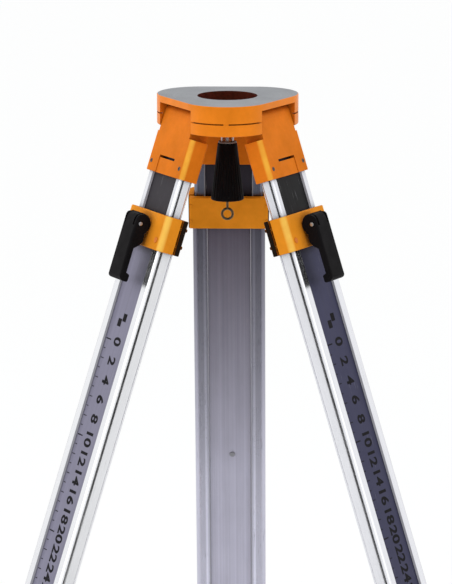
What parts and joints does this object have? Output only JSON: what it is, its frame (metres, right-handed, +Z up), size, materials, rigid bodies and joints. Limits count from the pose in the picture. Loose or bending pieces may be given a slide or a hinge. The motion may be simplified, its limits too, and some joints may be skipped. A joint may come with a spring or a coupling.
{
  "type": "surveyor tripod",
  "caption": "Aluminium surveying tripod with flat rounded-triangle head, telescopic legs with lever clamps, hinged leg heads, captive fixing screw with tapered knob, and pointed foot shoes.",
  "frame": {"origin": "centre of the head's central opening, on the flat top face", "axes": "+Z up out of the head; +Y towards the rear leg, so the other two legs point to -Y left and right"},
  "size_m": [0.7088, 0.6252, 0.9977],
  "materials": {
    "orange_cast": "orange powder coat, satin, top face machined bare",
    "orange_moulded": "satin",
    "black_moulded": "satin",
    "grey_nylon": "matte",
    "anodised_profile": "satin",
    "bright_profile": "satin",
    "steel": "satin",
    "zinc_steel": "satin",
    "rivet_metal": "satin",
    "brass_fitting": "satin"
  },
  "bodies": {
    "head": {"head_casting": "orange_cast", "axle_plugs": "orange_moulded", "arm_pivot_screw": "zinc_steel", "hinge_axle_rear": "steel", "hinge_axle_left": "steel", "hinge_axle_right": "steel"},
    "swivel_arm": {"swivel_arm": "zinc_steel"},
    "screw_carrier": {"screw_guide": "grey_nylon", "guide_top_ring": "zinc_steel"},
    "screw_washer": {"thrust_washer": "grey_nylon"},
    "fixing_screw": {"centre_screw": "zinc_steel", "screw_knob": "black_moulded", "plumb_hook": "brass_fitting"},
    "upper_leg_rear": {"leg_head_rear": "orange_moulded", "hinge_bushes_rear": "grey_nylon", "inner_profile_rear": "anodised_profile", "head_screws_rear": "zinc_steel", "inner_guide_rear": "black_moulded"},
    "lower_leg_rear": {"outer_profile_rear": "bright_profile", "clamp_collar_rear": "orange_moulded", "clamp_strap_rear": "orange_moulded", "collar_screws_rear": "zinc_steel", "lever_pin_rear": "zinc_steel", "foot_shoe_rear": "orange_moulded", "foot_point_rear": "steel", "rivets_rear": "rivet_metal"},
    "lever_rear": {"clamp_lever_rear": "black_moulded"},
    "pad_rear": {"clamp_pad_rear": "grey_nylon"},
    "upper_leg_left": {"leg_head_left": "orange_moulded", "hinge_bushes_left": "grey_nylon", "inner_profile_left": "anodised_profile", "head_screws_left": "zinc_steel", "inner_guide_left": "black_moulded"},
    "lower_leg_left": {"outer_profile_left": "bright_profile", "clamp_collar_left": "orange_moulded", "clamp_strap_left": "orange_moulded", "collar_screws_left": "zinc_steel", "lever_pin_left": "zinc_steel", "foot_shoe_left": "orange_moulded", "foot_point_left": "steel", "rivets_left": "rivet_metal"},
    "lever_left": {"clamp_lever_left": "black_moulded"},
    "pad_left": {"clamp_pad_left": "grey_nylon"},
    "upper_leg_right": {"leg_head_right": "orange_moulded", "hinge_bushes_right": "grey_nylon", "inner_profile_right": "anodised_profile", "head_screws_right": "zinc_steel", "inner_guide_right": "black_moulded"},
    "lower_leg_right": {"outer_profile_right": "bright_profile", "clamp_collar_right": "orange_moulded", "clamp_strap_right": "orange_moulded", "collar_screws_right": "zinc_steel", "lever_pin_right": "zinc_steel", "foot_shoe_right": "orange_moulded", "foot_point_right": "steel", "rivets_right": "rivet_metal"},
    "lever_right": {"clamp_lever_right": "black_moulded"},
    "pad_right": {"clamp_pad_right": "grey_nylon"}
  },
  "joints": [
    {"name": "leg_splay_rear", "type": "hinge", "parent": "head", "child": "upper_leg_rear", "pos_m": [0, 0.0441, -0.018], "axis": [1, 0, 0], "range_deg": [-19, 14]},
    {"name": "leg_extend_rear", "type": "slide", "parent": "upper_leg_rear", "child": "lower_leg_rear", "axis": [0, 0.3256, -0.9455], "range_m": [0, 0.65]},
    {"name": "clamp_lever_rear", "type": "hinge", "parent": "lower_leg_rear", "child": "lever_rear", "pos_m": [0, 0.10511, -0.11841], "axis": [1, 0, 0], "range_deg": [0, 130]},
    {"name": "clamp_pad_rear", "type": "slide", "parent": "lower_leg_rear", "child": "pad_rear", "axis": [0, 0.9455, 0.3256], "range_m": [0, 0.00102]},
    {"name": "leg_splay_left", "type": "hinge", "parent": "head", "child": "upper_leg_left", "pos_m": [-0.03819, -0.02205, -0.018], "axis": [-0.5, 0.866, 0], "range_deg": [-19, 14]},
    {"name": "leg_extend_left", "type": "slide", "parent": "upper_leg_left", "child": "lower_leg_left", "axis": [-0.282, -0.1628, -0.9455], "range_m": [0, 0.65]},
    {"name": "clamp_lever_left", "type": "hinge", "parent": "lower_leg_left", "child": "lever_left", "pos_m": [-0.09103, -0.05256, -0.11841], "axis": [-0.5, 0.866, 0], "range_deg": [0, 130]},
    {"name": "clamp_pad_left", "type": "slide", "parent": "lower_leg_left", "child": "pad_left", "axis": [-0.8188, -0.4728, 0.3256], "range_m": [0, 0.00102]},
    {"name": "leg_splay_right", "type": "hinge", "parent": "head", "child": "upper_leg_right", "pos_m": [0.03819, -0.02205, -0.018], "axis": [-0.5, -0.866, 0], "range_deg": [-19, 14]},
    {"name": "leg_extend_right", "type": "slide", "parent": "upper_leg_right", "child": "lower_leg_right", "axis": [0.282, -0.1628, -0.9455], "range_m": [0, 0.65]},
    {"name": "clamp_lever_right", "type": "hinge", "parent": "lower_leg_right", "child": "lever_right", "pos_m": [0.09103, -0.05256, -0.11841], "axis": [-0.5, -0.866, 0], "range_deg": [0, 130]},
    {"name": "clamp_pad_right", "type": "slide", "parent": "lower_leg_right", "child": "pad_right", "axis": [0.8188, -0.4728, 0.3256], "range_m": [0, 0.00102]},
    {"name": "arm_swing", "type": "hinge", "parent": "head", "child": "swivel_arm", "pos_m": [0.03291, 0.019, -0.0165], "axis": [0, 0, 1], "range_deg": [-10, 10]},
    {"name": "carrier_slide", "type": "slide", "parent": "swivel_arm", "child": "screw_carrier", "axis": [-0.866, -0.5, 0], "range_m": [-0.012, 0.012]},
    {"name": "screw_lift", "type": "slide", "parent": "screw_carrier", "child": "screw_washer", "axis": [0, 0, 1], "range_m": [0, 0.0179]},
    {"name": "screw_spin", "type": "hinge", "parent": "screw_washer", "child": "fixing_screw", "pos_m": [0, 0, -0.05], "axis": [0, 0, 1], "continuous": true}
  ],
  "couplings": [
    {"joint": "clamp_pad_rear", "follows": "clamp_lever_rear", "m_per_rad": 0.00044},
    {"joint": "clamp_pad_left", "follows": "clamp_lever_left", "m_per_rad": 0.00044},
    {"joint": "clamp_pad_right", "follows": "clamp_lever_right", "m_per_rad": 0.00044}
  ]
}
